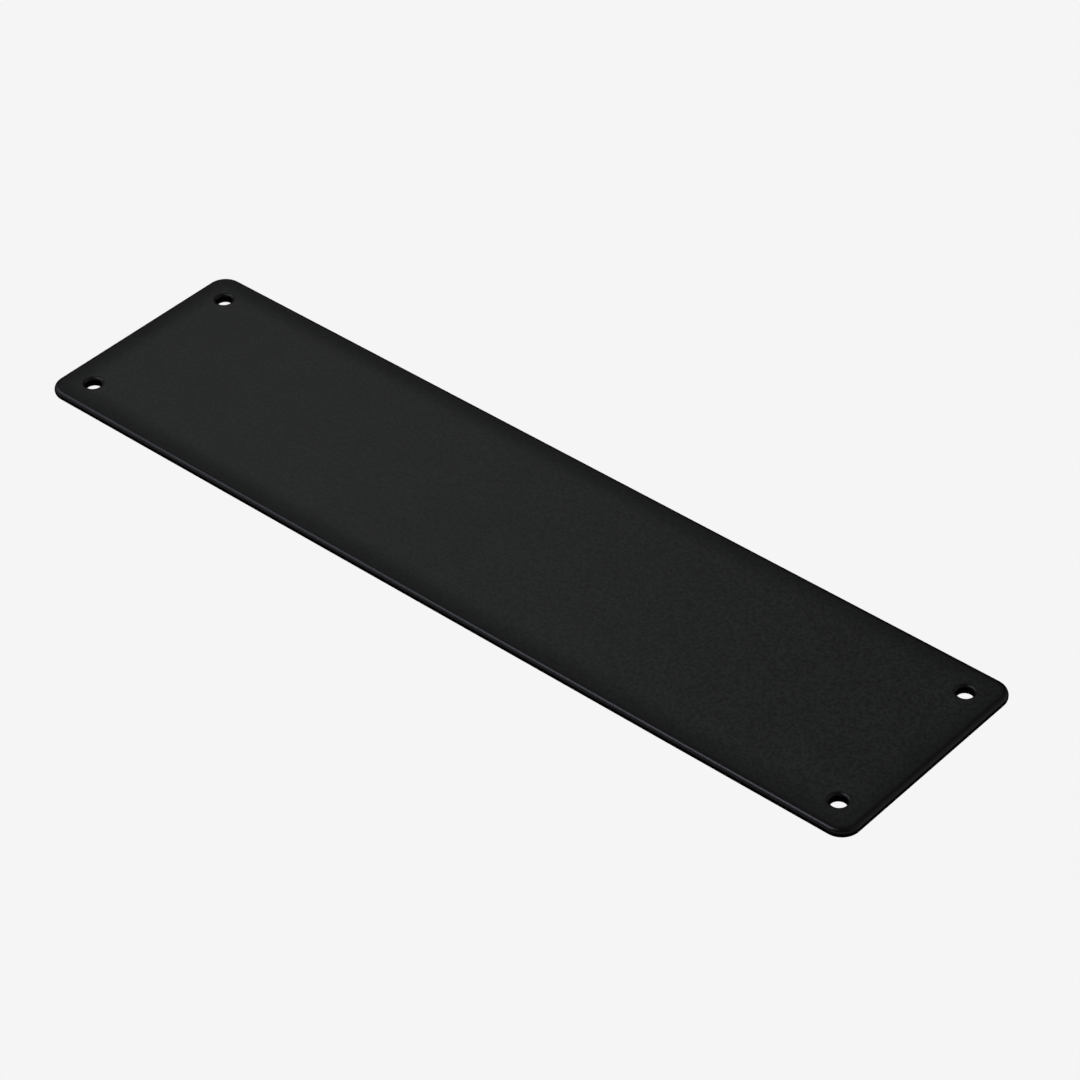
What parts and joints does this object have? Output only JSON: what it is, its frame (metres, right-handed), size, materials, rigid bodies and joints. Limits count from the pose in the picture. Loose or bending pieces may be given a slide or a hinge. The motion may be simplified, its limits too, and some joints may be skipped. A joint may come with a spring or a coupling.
{
  "type": "kick plate",
  "caption": "Flat rectangular door plate with rounded corners and edges and a plain round screw hole near each corner, in steel with a satin black coating.",
  "frame": {"origin": "centre of the back face, the face that goes against the door", "axes": "+X along the length, +Y across the width, +Z out of the front face, away from the door"},
  "size_m": [0.3, 0.075, 0.003],
  "materials": {
    "black_coating": "satin black powder coating, very finely textured"
  },
  "bodies": {
    "root": {"kick_plate": "black_coating"}
  },
  "joints": []
}
